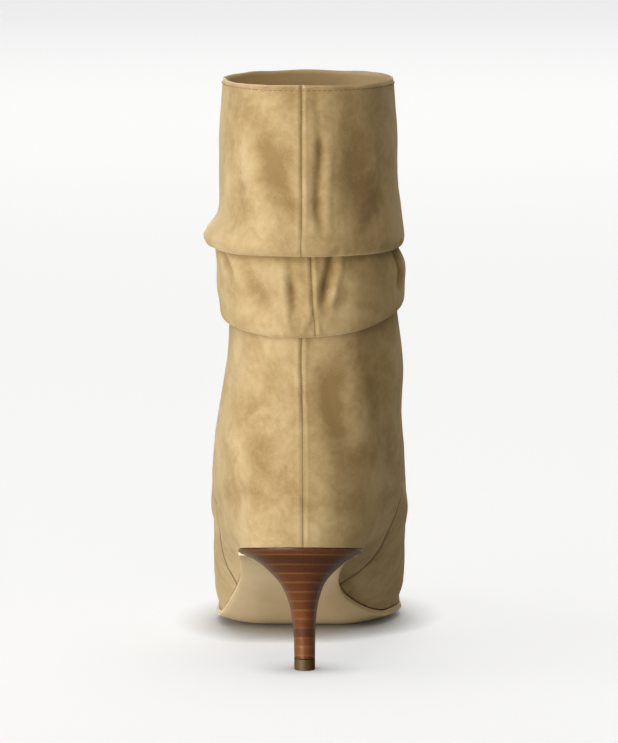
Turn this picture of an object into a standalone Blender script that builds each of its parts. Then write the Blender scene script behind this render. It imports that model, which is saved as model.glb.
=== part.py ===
"""Slouch boot with a stacked kitten heel, for the left foot.

The origin is the middle of the heel tip's bottom face, on the floor. +Y points to the toe, +X to the
inner (medial) side of the foot and +Z up. Sizes are in millimetres until to_metres().
"""

import math
from collections import namedtuple

import bmesh
import bpy
from mathutils import Vector

OBJECT_NAME = "slouch_boot"

# Driving sizes of the whole boot
HEEL_END = -21.0
TOE_END = 226.0
SOLE_LENGTH = TOE_END - HEEL_END
BREAST = 28.0
SEAT_HEIGHT = 55.86
SEAT_SLOPE = -0.158
TREAD_START = 130.0
TREAD_END = 160.0
TIP_TURN = 3.0

# Thicknesses and the gap between neighbouring pieces
WALL = 1.4
OUTSOLE_THICK = 2.6
INSOLE_THICK = 2.0
GAP = 0.3
# The upper's wall leans over the insole's edge, so the insole is set in by more than the wall
INSOLE_INSET = 4.0

# Mesh density
SIDE_COLUMNS = 24
SOLE_ROWS = 24
TIP_CUT = 0.4
CLOSE = 0.01
SOLE_COLUMNS = 12
HEEL_COLUMNS = 16

# The last's underside, seen from the side: y, height, slope, and how much higher its edges are (crown)
LAST_LINE = (
    (HEEL_END, SEAT_HEIGHT, SEAT_SLOPE, 0.0),
    (BREAST, SEAT_HEIGHT + SEAT_SLOPE * (BREAST - HEEL_END), SEAT_SLOPE, 0.0),
    (65.0, 30.5, -0.55, 1.2),
    (95.0, 14.8, -0.47, 2.6),
    (TREAD_START, OUTSOLE_THICK, 0.0, 4.0),
    (TREAD_END, OUTSOLE_THICK, 0.0, 4.0),
    (TOE_END, 9.5, 0.2, 2.0),
)
# The middle of the sole's width stays flat across, and the crown starts outside it
FLAT_SHARE = 0.45

# The last's outline from above: share of the length, half width on the lateral and on the medial side
OUTLINE = (
    (0.00, 0.0, 0.0),
    (0.03, 19.5, 18.0),
    (0.10, 27.6, 24.6),
    (0.20, 29.6, 22.6),
    (0.28, 29.2, 15.8),
    (0.35, 30.0, 13.2),
    (0.43, 33.3, 15.0),
    (0.50, 36.8, 20.8),
    (0.59, 41.0, 32.5),
    (0.69, 42.6, 39.4),
    (0.79, 38.6, 37.4),
    (0.88, 28.5, 28.5),
    (0.95, 16.0, 17.0),
    (1.00, 0.0, 0.0),
)

# The upper's rings. Each runs round the boot from the back seam (back) to the front ridge (front).
# lateral and medial are half widths, the lifts raise a ring's sides, hug is how far it dips with the
# last's underside, follow how far it keeps the last's outline, and the powers round its two ends.
Ring = namedtuple(
    "Ring",
    "back_y back_z front_y front_z lateral medial lateral_lift medial_lift hug follow back_power front_power",
)
FOOT_RINGS = (
    # back_y back_z  front_y front_z  lat   med   lift lift  hug follow powers
    Ring(-21.0, 56.2, 226.0, 11.8, 42.0, 42.0, 0.0, 0.0, 1.00, 1.00, 0.85, 1.5),
    Ring(-22.4, 61.0, 228.0, 16.5, 47.0, 49.0, 0.0, 0.0, 0.95, 0.70, 0.85, 1.5),
    Ring(-23.4, 69.0, 223.0, 24.5, 45.8, 47.6, 0.0, 0.0, 0.80, 0.35, 0.85, 1.5),
    Ring(-23.4, 80.0, 193.0, 36.0, 42.2, 43.0, 0.0, 0.0, 0.35, 0.00, 0.80, 1.4),
    Ring(-21.8, 93.0, 147.0, 55.0, 42.2, 43.2, 0.0, 0.0, 0.10, 0.00, 0.80, 1.2),
    Ring(-19.4, 106.0, 110.0, 79.0, 40.6, 42.4, 0.0, 0.0, 0.00, 0.00, 0.85, 1.0),
    Ring(-18.0, 119.0, 90.0, 105.0, 37.4, 41.4, 0.0, 0.0, 0.00, 0.00, 0.90, 0.9),
    Ring(-18.0, 135.0, 83.0, 132.0, 34.2, 41.6, 0.0, 0.0, 0.00, 0.00, 0.90, 0.9),
)

# The two slouch folds, each a pleat that hangs over the tier below: its lowest edge, outermost skin
LOWER_FOLD = Ring(-24.0, 147.2, 86.5, 156.5, 37.6, 42.6, -1.0, 5.0, 0.0, 0.0, 0.90, 0.9)
UPPER_FOLD = Ring(-25.0, 182.0, 89.0, 184.0, 43.8, 42.4, -1.6, -1.2, 0.0, 0.0, 0.90, 0.9)

# The pleat's section from the tier above to the tier below: inwards from the skin, up from the edge
PLEAT = (
    (0.00, 5.0),
    (0.15, 2.2),
    (0.90, 0.5),
    (1.90, 0.0),
    (2.90, 0.5),
    (3.60, 2.2),
    (3.70, 5.0),
    (3.90, 5.6),
    (4.15, 5.0),
    (4.15, 2.0),
)

# The tiers between and above the folds, from below upwards
MIDDLE_TIER = (
    Ring(-23.4, 159.0, 87.0, 165.0, 38.4, 42.6, 0.0, 3.0, 0.0, 0.0, 0.90, 0.9),
    Ring(-22.6, 172.0, 86.5, 176.0, 38.4, 42.6, 0.0, 0.0, 0.0, 0.0, 0.90, 0.9),
)
TOP_TIER = (
    Ring(-23.6, 194.0, 88.0, 196.0, 38.6, 41.4, 0.0, 0.0, 0.0, 0.0, 0.90, 0.9),
    Ring(-22.4, 210.0, 87.0, 211.0, 37.6, 39.4, 0.0, 0.0, 0.0, 0.0, 0.90, 0.9),
    Ring(-22.2, 234.0, 86.0, 234.0, 37.4, 39.0, 0.0, 0.0, 0.0, 0.0, 0.90, 0.9),
    Ring(-22.0, 254.8, 86.0, 254.6, 36.2, 37.6, 0.0, 0.0, 0.0, 0.0, 0.90, 0.9),
)

# The heel's levels: height at the tip's axis, half widths, and where its back and its breast are
HeelLevel = namedtuple("HeelLevel", "height lateral medial back breast")
TIP_TOP = 4.9
HEEL_LEVELS = (
    HeelLevel(50.9, 29.0, 24.0, -20.6, 27.4),
    HeelLevel(47.6, 22.8, 18.6, -18.6, 23.0),
    HeelLevel(44.8, 18.9, 15.2, -16.8, 19.0),
    HeelLevel(41.0, 14.6, 11.2, -14.6, 14.6),
    HeelLevel(37.4, 11.3, 8.6, -12.8, 11.6),
    HeelLevel(33.0, 8.8, 6.9, -10.9, 9.2),
    HeelLevel(28.0, 7.0, 5.6, -9.1, 7.4),
    HeelLevel(21.0, 5.6, 4.8, -7.4, 6.2),
    HeelLevel(13.0, 4.9, 4.5, -6.3, 5.5),
    HeelLevel(TIP_TOP + GAP, 4.7, 4.4, -5.8, 5.2),
)


def smooth(table, column, at):
    """Read one column of a table whose first column rises, on a smooth curve through its rows."""
    places = [row[0] for row in table]
    values = [row[column] for row in table]
    last = len(table) - 1
    slopes = []
    for i in range(last + 1):
        before = max(i - 1, 0)
        after = min(i + 1, last)
        slopes.append((values[after] - values[before]) / (places[after] - places[before]))
    i = 0
    while i < last - 1 and at > places[i + 1]:
        i += 1
    return hermite(places[i], values[i], slopes[i], places[i + 1], values[i + 1], slopes[i + 1], at)


def hermite(x0, v0, m0, x1, v1, m1, at):
    """The cubic from (x0, v0) with slope m0 to (x1, v1) with slope m1."""
    span = x1 - x0
    u = min(max((at - x0) / span, 0.0), 1.0)
    return (
        v0 * (1 + 2 * u) * (1 - u) ** 2
        + m0 * span * u * (1 - u) ** 2
        + v1 * u * u * (3 - 2 * u)
        + m1 * span * u * u * (u - 1)
    )


def last_height(y):
    """Height of the last's underside along its middle."""
    i = 0
    while i < len(LAST_LINE) - 2 and y > LAST_LINE[i + 1][0]:
        i += 1
    x0, v0, m0, _ = LAST_LINE[i]
    x1, v1, m1, _ = LAST_LINE[i + 1]
    return hermite(x0, v0, m0, x1, v1, m1, y)


def crown(y):
    """How much higher the last's edge is than its middle."""
    i = 0
    while i < len(LAST_LINE) - 2 and y > LAST_LINE[i + 1][0]:
        i += 1
    y0, crown0 = LAST_LINE[i][0], LAST_LINE[i][3]
    y1, crown1 = LAST_LINE[i + 1][0], LAST_LINE[i + 1][3]
    share = min(max((y - y0) / (y1 - y0), 0.0), 1.0)
    return crown0 + (crown1 - crown0) * share


def dip(y):
    """How far the last's edge lies below the straight line from its back to its toe."""
    start = last_height(HEEL_END)
    end = last_height(TOE_END) + crown(TOE_END)
    chord = start + (end - start) * (y - HEEL_END) / SOLE_LENGTH
    return last_height(y) + crown(y) - chord


def half_width(side, turn):
    """Half width of the last's outline where it has turned by this angle, 0 at the back, pi at the toe."""
    table = [(math.acos(1 - 2 * row[0]), row[1], row[2]) for row in OUTLINE]
    return smooth(table, 1 if side == "lateral" else 2, turn)


def toe_turn(y):
    """Sideways shift that leads the toe to the medial side."""
    beyond = max(0.0, (y - TREAD_START) / (TOE_END - TREAD_START))
    return TIP_TURN * beyond ** 2


def ring_point(ring, side, turn):
    """The point of a ring on one side of the boot, 0 at the back seam, pi at the front ridge."""
    share = (1 - math.cos(turn)) / 2
    arch = math.sin(turn)
    power = ring.back_power if share < 0.5 else ring.front_power
    own_width = ring.lateral if side == "lateral" else ring.medial
    lift = ring.lateral_lift if side == "lateral" else ring.medial_lift
    width = ring.follow * half_width(side, turn)
    width += (1 - ring.follow) * own_width * max(arch, 0.0) ** power
    y = ring.back_y + (ring.front_y - ring.back_y) * share
    z = ring.back_z + (ring.front_z - ring.back_z) * share
    z += lift * arch ** 2 + ring.hug * dip(y)
    sign = -1.0 if side == "lateral" else 1.0
    return Vector((sign * width + toe_turn(y), y, z))


def ring_loop(ring):
    """All points of a ring: up the lateral side from the back seam and home along the medial side."""
    step = math.pi / SIDE_COLUMNS
    loop = [ring_point(ring, "lateral", step * i) for i in range(SIDE_COLUMNS)]
    loop += [ring_point(ring, "medial", math.pi - step * i) for i in range(SIDE_COLUMNS)]
    return loop


def rings_between(rings, steps):
    """The rings with smooth ones put between them, steps to each interval."""
    count = len(rings)
    out = []
    for i in range(count - 1):
        for step in range(steps):
            at = i + step / steps
            values = []
            for column in range(len(rings[0])):
                table = [(k, rings[k][column]) for k in range(count)]
                values.append(smooth(table, 1, at))
            out.append(Ring(*values))
    out.append(rings[-1])
    return out


def pleat_rings(edge):
    """The rings of one fold, from the tier below to the tier above."""
    out = []
    for inwards, up in reversed(PLEAT):
        out.append(edge._replace(
            back_y=edge.back_y + inwards,
            front_y=edge.front_y - inwards,
            lateral=edge.lateral - inwards,
            medial=edge.medial - inwards,
            back_z=edge.back_z + up,
            front_z=edge.front_z + up,
        ))
    return out


def upper_rings():
    """Every ring of the upper's skin, from the feather edge to the collar."""
    rings = rings_between(FOOT_RINGS, 2)
    rings += pleat_rings(LOWER_FOLD)
    rings += MIDDLE_TIER
    rings += pleat_rings(UPPER_FOLD)
    rings += TOP_TIER
    return rings


def to_metres(point):
    return point * 0.001


def new_object(collection, name, mesh, material):
    """Link an object with its own mesh and material."""
    thing = bpy.data.objects.new(name, mesh)
    thing.data.materials.append(material)
    collection.objects.link(thing)
    return thing


def new_material(name, colour, roughness):
    material = bpy.data.materials.new(name)
    material.use_nodes = True
    shader = material.node_tree.nodes["Principled BSDF"]
    shader.inputs["Base Color"].default_value = (*colour, 1.0)
    shader.inputs["Roughness"].default_value = roughness
    shader.inputs["Metallic"].default_value = 0.0
    return material


def loft_mesh(name, loops, closed, capped):
    """Join loops of as many points each by quads; closed loops return to their first point."""
    shape = bmesh.new()
    rows = [[shape.verts.new(to_metres(point)) for point in loop] for loop in loops]
    width = len(rows[0])
    for lower, upper in zip(rows, rows[1:]):
        for i in range(width if closed else width - 1):
            after = (i + 1) % width
            shape.faces.new((lower[i], lower[after], upper[after], upper[i]))
    if capped:
        shape.faces.new(rows[0])
        shape.faces.new(rows[-1])
    bmesh.ops.recalc_face_normals(shape, faces=shape.faces)
    mesh = bpy.data.meshes.new(name)
    shape.to_mesh(mesh)
    shape.free()
    mesh.shade_smooth()
    return mesh


def thicken(thing, thickness, side):
    """Give an open skin a wall: side 1 grows it along its normals, -1 against them."""
    wall = thing.modifiers.new("Wall", "SOLIDIFY")
    wall.thickness = thickness * 0.001
    wall.offset = side
    wall.use_even_offset = True
    wall.use_quality_normals = True


def build_upper(collection):
    loops = [ring_loop(ring) for ring in upper_rings()]
    mesh = loft_mesh("upper", loops, closed=True, capped=False)
    suede = new_material("suede", (0.52, 0.38, 0.20), 0.95)
    upper = new_object(collection, "upper", mesh, suede)
    thicken(upper, WALL, -1)


def turn_at(y):
    """How far the last's outline has turned at this y."""
    return math.acos(1 - 2 * (y - HEEL_END) / SOLE_LENGTH)


def turns_between(start, end):
    """The turns of the plates' rows between two places; plates that share rows keep their gap."""
    first = turn_at(BREAST + GAP)
    step = (turn_at(TOE_END - TIP_CUT) - first) / SOLE_ROWS
    low = math.floor((turn_at(start) - first) / step + CLOSE) + 1
    high = math.ceil((turn_at(end) - first) / step - CLOSE) - 1
    inner = [first + step * row for row in range(low, high + 1)]
    return [turn_at(start)] + inner + [turn_at(end)]


def plate_rows(start, end, inset, raised):
    """Rows across the last's underside from one y to another, inset from its outline."""
    rows = []
    for turn in turns_between(start, end):
        y = HEEL_END + SOLE_LENGTH * (1 - math.cos(turn)) / 2
        lateral = half_width("lateral", turn)
        medial = half_width("medial", turn)
        left = -max(lateral - inset, 0.4)
        right = max(medial - inset, 0.4)
        points = []
        for column in range(SOLE_COLUMNS + 1):
            x = left + (right - left) * column / SOLE_COLUMNS
            across = (2 * x + lateral - medial) / (lateral + medial + 0.8)
            outside = max(0.0, abs(across) - FLAT_SHARE) / (1 - FLAT_SHARE)
            z = last_height(y) + crown(y) * outside ** 2 + raised
            points.append(Vector((x + toe_turn(y), y, z)))
        rows.append(points)
    return rows


def build_plate(collection, name, rows, thickness, side, material):
    """A plate that follows the last's underside and grows up (side 1) or down (-1) from its rows."""
    mesh = loft_mesh(name, rows, closed=False, capped=False)
    if sum(face.normal.z for face in mesh.polygons) < 0:
        mesh.flip_normals()
    plate = new_object(collection, name, mesh, material)
    thicken(plate, thickness, side)


def build_outsole(collection):
    leather = new_material("sole_leather", (0.66, 0.52, 0.34), 0.55)
    rows = plate_rows(BREAST + GAP, TOE_END - TIP_CUT, 0.0, 0.0)
    build_plate(collection, "outsole", rows, OUTSOLE_THICK, -1, leather)


def build_insole(collection):
    leather = new_material("insole_leather", (0.60, 0.46, 0.30), 0.6)
    inset = INSOLE_INSET
    rows = plate_rows(HEEL_END + inset, TOE_END - 2 * inset, inset, GAP)
    build_plate(collection, "insole", rows, INSOLE_THICK, 1, leather)


def seat_shape():
    """The seat's outline, its half widths and its length both running from 0 to 1."""
    widest = {"lateral": 0.0, "medial": 0.0}
    arc = {"lateral": [], "medial": []}
    last_turn = math.acos(1 - 2 * (BREAST - HEEL_END) / SOLE_LENGTH)
    for side in arc:
        for i in range(HEEL_COLUMNS + 1):
            turn = last_turn * i / HEEL_COLUMNS
            y = HEEL_END + SOLE_LENGTH * (1 - math.cos(turn)) / 2
            width = half_width(side, turn)
            widest[side] = max(widest[side], width)
            arc[side].append((width, (y - HEEL_END) / (BREAST - HEEL_END)))
    shape = [("lateral", width / widest["lateral"], along) for width, along in arc["lateral"]]
    shape += [("medial", width / widest["medial"], along) for width, along in reversed(arc["medial"][1:])]
    return shape, widest


def heel_loop(shape, level, height_at):
    """One level of the heel: the seat's outline at this level's own width and length."""
    loop = []
    for side, width, along in shape:
        half = level.lateral if side == "lateral" else level.medial
        sign = -1.0 if side == "lateral" else 1.0
        y = level.back + (level.breast - level.back) * along
        loop.append(Vector((sign * half * width, y, height_at(y))))
    return loop


def build_heel(collection):
    shape, widest = seat_shape()
    seat = HeelLevel(last_height(0.0), widest["lateral"], widest["medial"], HEEL_END, BREAST)
    bottom = HEEL_LEVELS[-1].height
    loops = [heel_loop(shape, seat, last_height)]
    for level in HEEL_LEVELS:
        fade = ((level.height - bottom) / (seat.height - bottom)) ** 2
        loops.append(heel_loop(shape, level, lambda y: level.height + SEAT_SLOPE * fade * y))
    mesh = loft_mesh("heel", loops, closed=True, capped=True)
    mesh.set_sharp_from_angle(angle=math.radians(40))
    stack = new_material("stacked_leather", (0.20, 0.07, 0.03), 0.35)
    new_object(collection, "heel", mesh, stack)

    foot = HEEL_LEVELS[-1]
    tip_loops = [heel_loop(shape, foot, lambda y: z) for z in (0.0, TIP_TOP)]
    mesh = loft_mesh("heel_tip", tip_loops, closed=True, capped=True)
    mesh.set_sharp_from_angle(angle=math.radians(40))
    rubber = new_material("tip_rubber", (0.18, 0.12, 0.06), 0.5)
    new_object(collection, "heel_tip", mesh, rubber)


def main():
    for thing in list(bpy.data.objects):
        bpy.data.objects.remove(thing, do_unlink=True)
    collection = bpy.data.collections.new(OBJECT_NAME)
    bpy.context.scene.collection.children.link(collection)
    build_upper(collection)
    build_insole(collection)
    build_outsole(collection)
    build_heel(collection)


main()
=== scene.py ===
# %% [markdown]
# A slouch boot, dressed for its portrait.
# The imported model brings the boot's true sizes: hollow upper, insole, outsole, heel and heel tip. This
# lesson gives each of them the surface that the real piece has, and leaves the sizes alone.

# %% Load the frame
import math
from collections import namedtuple
from functools import partial

import bmesh
import bpy
from mathutils import Matrix, Vector, noise


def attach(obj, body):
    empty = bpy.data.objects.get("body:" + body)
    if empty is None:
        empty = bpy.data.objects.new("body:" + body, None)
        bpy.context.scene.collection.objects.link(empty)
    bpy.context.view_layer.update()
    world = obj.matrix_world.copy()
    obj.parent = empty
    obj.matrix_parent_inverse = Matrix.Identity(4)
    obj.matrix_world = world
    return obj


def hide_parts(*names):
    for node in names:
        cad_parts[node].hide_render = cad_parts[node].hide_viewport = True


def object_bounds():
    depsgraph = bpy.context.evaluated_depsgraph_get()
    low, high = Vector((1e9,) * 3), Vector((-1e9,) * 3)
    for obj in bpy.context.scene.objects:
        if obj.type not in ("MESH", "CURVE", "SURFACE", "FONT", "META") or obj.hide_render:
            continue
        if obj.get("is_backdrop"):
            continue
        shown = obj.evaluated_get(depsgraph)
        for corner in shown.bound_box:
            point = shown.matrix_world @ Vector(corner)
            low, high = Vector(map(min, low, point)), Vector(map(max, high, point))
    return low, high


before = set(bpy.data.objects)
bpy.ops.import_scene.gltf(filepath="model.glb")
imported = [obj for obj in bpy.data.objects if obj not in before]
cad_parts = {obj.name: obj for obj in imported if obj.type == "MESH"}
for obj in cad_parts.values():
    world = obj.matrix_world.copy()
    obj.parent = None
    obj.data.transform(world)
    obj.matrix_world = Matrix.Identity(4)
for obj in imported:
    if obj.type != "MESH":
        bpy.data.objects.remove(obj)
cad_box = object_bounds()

print("nodes:", sorted(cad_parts))
print("box in mm:", [[round(c * 1000, 1) for c in corner] for corner in cad_box])

# %% [markdown]
# Everything below is thought of in millimetres, as a shoemaker would, and turned into metres where a
# vertex gets its place. The scene starts with the camera, because every later choice is judged through
# it. The real picture was taken from behind and a little above, with a long lens, from a spot just
# beside the boot's own middle line. A long lens keeps the near heel and the far toe at almost one scale.

# %% Camera
MM = 0.001
EYE = Vector((60.0, -2700.0, 440.0)) * MM
LOOK_AT = Vector((0.5, 60.0, 123.0)) * MM
PIXELS_HIGH = 743
LONG_SENSOR = 36.0
PIXELS_PER_UNIT_SLOPE = 6300.0


def add_object(name, data):
    """Put data into the scene as an object at the origin."""
    made = bpy.data.objects.new(name, data)
    bpy.context.scene.collection.objects.link(made)
    return made


camera_data = bpy.data.cameras.new("portrait_camera")
camera_data.sensor_fit = "AUTO"
camera_data.sensor_width = LONG_SENSOR
camera_data.lens = PIXELS_PER_UNIT_SLOPE * LONG_SENSOR / PIXELS_HIGH
camera_data.clip_end = 60.0
camera = add_object("portrait_camera", camera_data)
camera.location = EYE
camera.rotation_euler = (LOOK_AT - EYE).to_track_quat("-Z", "Y").to_euler()
bpy.context.scene.camera = camera
print("lens in mm:", round(camera_data.lens, 1))

# %% [markdown]
# A studio sweep is one sheet of pale paper that lies flat and then curves up behind. Here the paper is a
# grid whose far rows are lifted round an arc, so no line shows where floor turns into wall. In such
# pictures the paper is lit so brightly by lamps of its own that shadows on it are faint. It glows for the
# camera here, and throws back little light for everything else, so the boot keeps its dark side. Close
# under the sole, where little of the sky is open, the glow fades into a contact shadow.

# %% Floor and lights
SWEEP_HALF = 22.0
SWEEP_NEAR = -20.0
SWEEP_FLAT = 5.0
SWEEP_RADIUS = 2.5
SWEEP_STRIPS = 120
PAPER_COLOUR = (0.43, 0.43, 0.42, 1.0)
PAPER_GLOW = 0.53
GLOW_COLOUR = (0.94, 0.96, 1.0, 1.0)
SHADOW_REACH = 22.0
SHADOW_POWER = 1.2
WORLD_COLOUR = (1.0, 0.89, 0.69, 1.0)
WORLD_STRENGTH = 0.24
SOFT_WHITE = (1.0, 0.985, 0.97)
Softbox = namedtuple("Softbox", "place target width height watts colour")
# places and sizes in metres
SOFTBOXES = {
    "key_left": Softbox((-4.47, -0.1, 1.15), (0, 0, 0.12), 2.85, 2.1, 57.8, SOFT_WHITE),
    "low_left": Softbox((-0.78, -0.88, 0.04), (0, 0.06, 0.05), 0.9, 0.08, 12.5, SOFT_WHITE),
    "fill_behind_camera": Softbox((0.1, -3.0, 0.4), (0, 0, 0.10), 1.6, 0.7, 14.5, (1.0, 0.93, 0.79)),
    "top_soft": Softbox((0.0, 0.1, 2.2), (0, 0.05, 0.1), 1.4, 1.4, 15.0, (1.0, 0.98, 0.94)),
    "far_floor_wash": Softbox((0.0, 3.4, 2.4), (0, 3.6, 0.0), 3.4, 2.0, 36.0, (1.0, 1.0, 1.0)),
}


def start_material(name, roughness, **finish):
    """A material with a plain shader; finish sets more of its inputs, with _ for a space in a name."""
    material = bpy.data.materials.new(name)
    material.use_nodes = True
    shader = material.node_tree.nodes["Principled BSDF"]
    shader.inputs["Roughness"].default_value = roughness
    for label, value in finish.items():
        shader.inputs[label.replace("_", " ")].default_value = value
    return material, material.node_tree, shader


def maths(tree, operation, first, second=None, third=None, clamp=False):
    """One Math node; each operand is a socket or a number."""
    made = tree.nodes.new("ShaderNodeMath")
    made.operation = operation
    made.use_clamp = clamp
    for index, operand in enumerate((first, second, third)):
        if operand is None:
            continue
        if isinstance(operand, (int, float)):
            made.inputs[index].default_value = operand
        else:
            tree.links.new(operand, made.inputs[index])
    return made.outputs[0]


def start_grid(columns, rows):
    """A flat grid from -0.5 to 0.5 both ways."""
    shape = bmesh.new()
    bmesh.ops.create_grid(shape, x_segments=columns, y_segments=rows, size=0.5)
    return shape


def finish_mesh(shape, name):
    """Turn a finished bmesh into a mesh with smooth shading."""
    mesh = bpy.data.meshes.new(name)
    shape.to_mesh(mesh)
    shape.free()
    mesh.shade_smooth()
    return mesh


def place_on_sweep(near_to_far):
    """Where a strip of the sweep lies, from 0 at its near edge to 1 at its top."""
    flat = SWEEP_FLAT - SWEEP_NEAR
    arc = SWEEP_RADIUS * math.pi / 2
    run = near_to_far * (flat + arc + SWEEP_RADIUS)
    if run < flat:
        return SWEEP_NEAR + run, 0.0
    if run < flat + arc:
        angle = (run - flat) / SWEEP_RADIUS
        return SWEEP_FLAT + SWEEP_RADIUS * math.sin(angle), SWEEP_RADIUS * (1 - math.cos(angle))
    return SWEEP_FLAT + SWEEP_RADIUS, SWEEP_RADIUS + run - flat - arc


def make_paper():
    """Paper that glows for the camera alone, and less where little of the sky is open above it."""
    paper, tree, shader = start_material(
        "pale_paper", 0.9, Specular_IOR_Level=0.0, Base_Color=PAPER_COLOUR, Emission_Color=GLOW_COLOUR
    )
    seen = tree.nodes.new("ShaderNodeLightPath").outputs["Is Camera Ray"]
    closeness = tree.nodes.new("ShaderNodeAmbientOcclusion")
    closeness.inputs["Distance"].default_value = SHADOW_REACH * MM
    open_sky = maths(tree, "POWER", closeness.outputs["AO"], SHADOW_POWER)
    glow = maths(tree, "MULTIPLY", maths(tree, "MULTIPLY", seen, open_sky), PAPER_GLOW)
    tree.links.new(glow, shader.inputs["Emission Strength"])
    return paper


def make_sweep():
    """The sheet of paper, from a flat grid."""
    shape = start_grid(2, SWEEP_STRIPS)
    for vert in shape.verts:
        y, z = place_on_sweep(vert.co.y + 0.5)
        vert.co = Vector((vert.co.x * 2 * SWEEP_HALF, y, z))
    mesh = finish_mesh(shape, "paper_sweep")
    mesh.materials.append(make_paper())
    sweep = add_object("paper_sweep", mesh)
    sweep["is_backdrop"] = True


def add_softbox(name, box):
    """A rectangular lamp that faces its target."""
    data = bpy.data.lights.new(name, "AREA")
    data.shape = "RECTANGLE"
    data.size = box.width
    data.size_y = box.height
    data.energy = box.watts
    data.color = box.colour
    lamp = add_object(name, data)
    lamp.location = box.place
    lamp.rotation_euler = (Vector(box.target) - Vector(box.place)).to_track_quat("-Z", "Y").to_euler()


make_sweep()
for name, box in SOFTBOXES.items():
    add_softbox(name, box)

world = bpy.data.worlds.new("studio")
world.use_nodes = True
background = world.node_tree.nodes["Background"]
background.inputs["Color"].default_value = WORLD_COLOUR
background.inputs["Strength"].default_value = WORLD_STRENGTH
bpy.context.scene.world = world
bpy.context.scene.view_settings.view_transform = "Standard"
bpy.context.scene.view_settings.look = "Medium High Contrast"

# %% [markdown]
# A boot's upper is leather pulled over a last. The model describes it by rings: each ring runs round the
# boot from the back seam to the front ridge and has its own height, half widths and roundness. The same
# rings are repeated here, so the fine skin keeps the form of the solid that it stands for. The cubic
# between rows is the simplest curve that passes through each of them without a kink.

# %% The last and its rings
HEEL_END = -21.0
TOE_END = 226.0
SOLE_LENGTH = TOE_END - HEEL_END
BREAST = 28.0
SEAT_HEIGHT = 55.86
SEAT_SLOPE = -0.158
TREAD_START = 130.0
TREAD_END = 160.0
TIP_TURN = 3.0
WALL = 1.4
OUTSOLE_THICK = 2.6
GAP = 0.3
FLAT_SHARE = 0.45

# y, height, slope, how much higher the edges are
LAST_LINE = (
    (HEEL_END, SEAT_HEIGHT, SEAT_SLOPE, 0.0),
    (BREAST, SEAT_HEIGHT + SEAT_SLOPE * (BREAST - HEEL_END), SEAT_SLOPE, 0.0),
    (65.0, 30.5, -0.55, 1.2),
    (95.0, 14.8, -0.47, 2.6),
    (TREAD_START, OUTSOLE_THICK, 0.0, 4.0),
    (TREAD_END, OUTSOLE_THICK, 0.0, 4.0),
    (TOE_END, 9.5, 0.2, 2.0),
)

# share of the length, half width on the lateral and on the medial side
OUTLINE = (
    (0.00, 0.0, 0.0),
    (0.03, 19.5, 18.0),
    (0.10, 27.6, 24.6),
    (0.20, 29.6, 22.6),
    (0.28, 29.2, 15.8),
    (0.35, 30.0, 13.2),
    (0.43, 33.3, 15.0),
    (0.50, 36.8, 20.8),
    (0.59, 41.0, 32.5),
    (0.69, 42.6, 39.4),
    (0.79, 38.6, 37.4),
    (0.88, 28.5, 28.5),
    (0.95, 16.0, 17.0),
    (1.00, 0.0, 0.0),
)

Ring = namedtuple(
    "Ring",
    "back_y back_z front_y front_z lateral medial lateral_lift medial_lift hug follow back_power front_power",
)
FOOT_RINGS = (
    Ring(-21.0, 56.2, 226.0, 11.8, 42.0, 42.0, 0.0, 0.0, 1.00, 1.00, 0.85, 1.5),
    Ring(-22.4, 61.0, 228.0, 16.5, 47.0, 49.0, 0.0, 0.0, 0.95, 0.70, 0.85, 1.5),
    Ring(-23.4, 69.0, 223.0, 24.5, 45.8, 47.6, 0.0, 0.0, 0.80, 0.35, 0.85, 1.5),
    Ring(-23.4, 80.0, 193.0, 36.0, 42.2, 43.0, 0.0, 0.0, 0.35, 0.00, 0.80, 1.4),
    Ring(-21.8, 93.0, 147.0, 55.0, 42.2, 43.2, 0.0, 0.0, 0.10, 0.00, 0.80, 1.2),
    Ring(-19.4, 106.0, 110.0, 79.0, 40.6, 42.4, 0.0, 0.0, 0.00, 0.00, 0.85, 1.0),
    Ring(-18.0, 119.0, 90.0, 105.0, 37.4, 41.4, 0.0, 0.0, 0.00, 0.00, 0.90, 0.9),
    Ring(-18.0, 135.0, 83.0, 132.0, 34.2, 41.6, 0.0, 0.0, 0.00, 0.00, 0.90, 0.9),
)
LOWER_FOLD = Ring(-24.0, 147.2, 86.5, 156.5, 37.6, 42.6, -1.0, 5.0, 0.0, 0.0, 0.90, 0.9)
UPPER_FOLD = Ring(-25.0, 182.0, 89.0, 184.0, 43.8, 42.4, -1.6, -1.2, 0.0, 0.0, 0.90, 0.9)
# inwards from the skin and up from the fold's lowest edge, from the tier above to the tier below
PLEAT = (
    (0.00, 5.0),
    (0.15, 2.2),
    (0.90, 0.5),
    (1.90, 0.0),
    (2.90, 0.5),
    (3.60, 2.2),
    (3.70, 5.0),
    (3.90, 5.6),
    (4.15, 5.0),
    (4.15, 2.0),
)
MIDDLE_TIER = (
    Ring(-23.4, 159.0, 87.0, 165.0, 38.4, 42.6, 0.0, 3.0, 0.0, 0.0, 0.90, 0.9),
    Ring(-22.6, 172.0, 86.5, 176.0, 38.4, 42.6, 0.0, 0.0, 0.0, 0.0, 0.90, 0.9),
)
TOP_TIER = (
    Ring(-23.6, 194.0, 88.0, 196.0, 38.6, 41.4, 0.0, 0.0, 0.0, 0.0, 0.90, 0.9),
    Ring(-22.4, 210.0, 87.0, 211.0, 37.6, 39.4, 0.0, 0.0, 0.0, 0.0, 0.90, 0.9),
    Ring(-22.2, 234.0, 86.0, 234.0, 37.4, 39.0, 0.0, 0.0, 0.0, 0.0, 0.90, 0.9),
    Ring(-22.0, 254.8, 86.0, 254.6, 36.2, 37.6, 0.0, 0.0, 0.0, 0.0, 0.90, 0.9),
)


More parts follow.
